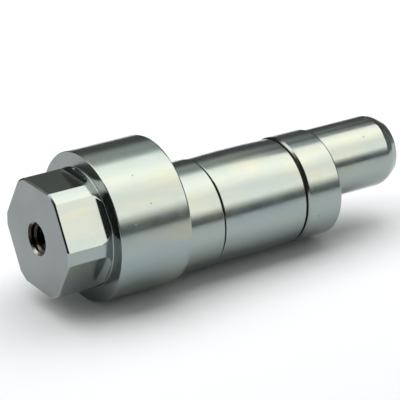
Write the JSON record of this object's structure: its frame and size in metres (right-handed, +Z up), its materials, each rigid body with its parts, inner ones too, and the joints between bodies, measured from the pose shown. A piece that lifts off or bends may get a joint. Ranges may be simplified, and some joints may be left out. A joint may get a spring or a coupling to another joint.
{
  "type": "eccentric pivot pin",
  "caption": "Eccentric pivot pin for a forklift tilt cylinder: spanner hexagon, support collar, offset lands with a crowned sleeve that turns, and a slim guide nose.",
  "frame": {"origin": "middle of the support collar, on the main axis on which the collar and the nose turn", "axes": "+X along the main axis from the hexagon to the nose; +Z up, and the offset lands lie towards -Z; +Y completes the right hand"},
  "size_m": [0.1381, 0.05, 0.05],
  "materials": {
    "plated_steel": "turned and milled steel with a clear zinc plating, satin",
    "ground_steel": "ground and oiled steel",
    "bearing_bronze": "plain bearing bronze, satin"
  },
  "bodies": {
    "pin": {"spanner_head": "plated_steel", "support_collar": "plated_steel", "eccentric_core": "ground_steel", "round_key": "ground_steel", "inner_ring": "plated_steel", "inner_thrust_washer": "bearing_bronze", "outer_thrust_washer": "bearing_bronze", "outer_ring": "plated_steel", "guide_nose": "plated_steel"},
    "sleeve": {"crowned_sleeve": "plated_steel", "sleeve_liner": "bearing_bronze"}
  },
  "joints": [
    {"name": "sleeve_turn", "type": "hinge", "parent": "pin", "child": "sleeve", "pos_m": [0.0477, 0, -0.00576], "axis": [1, 0, 0], "continuous": true}
  ]
}
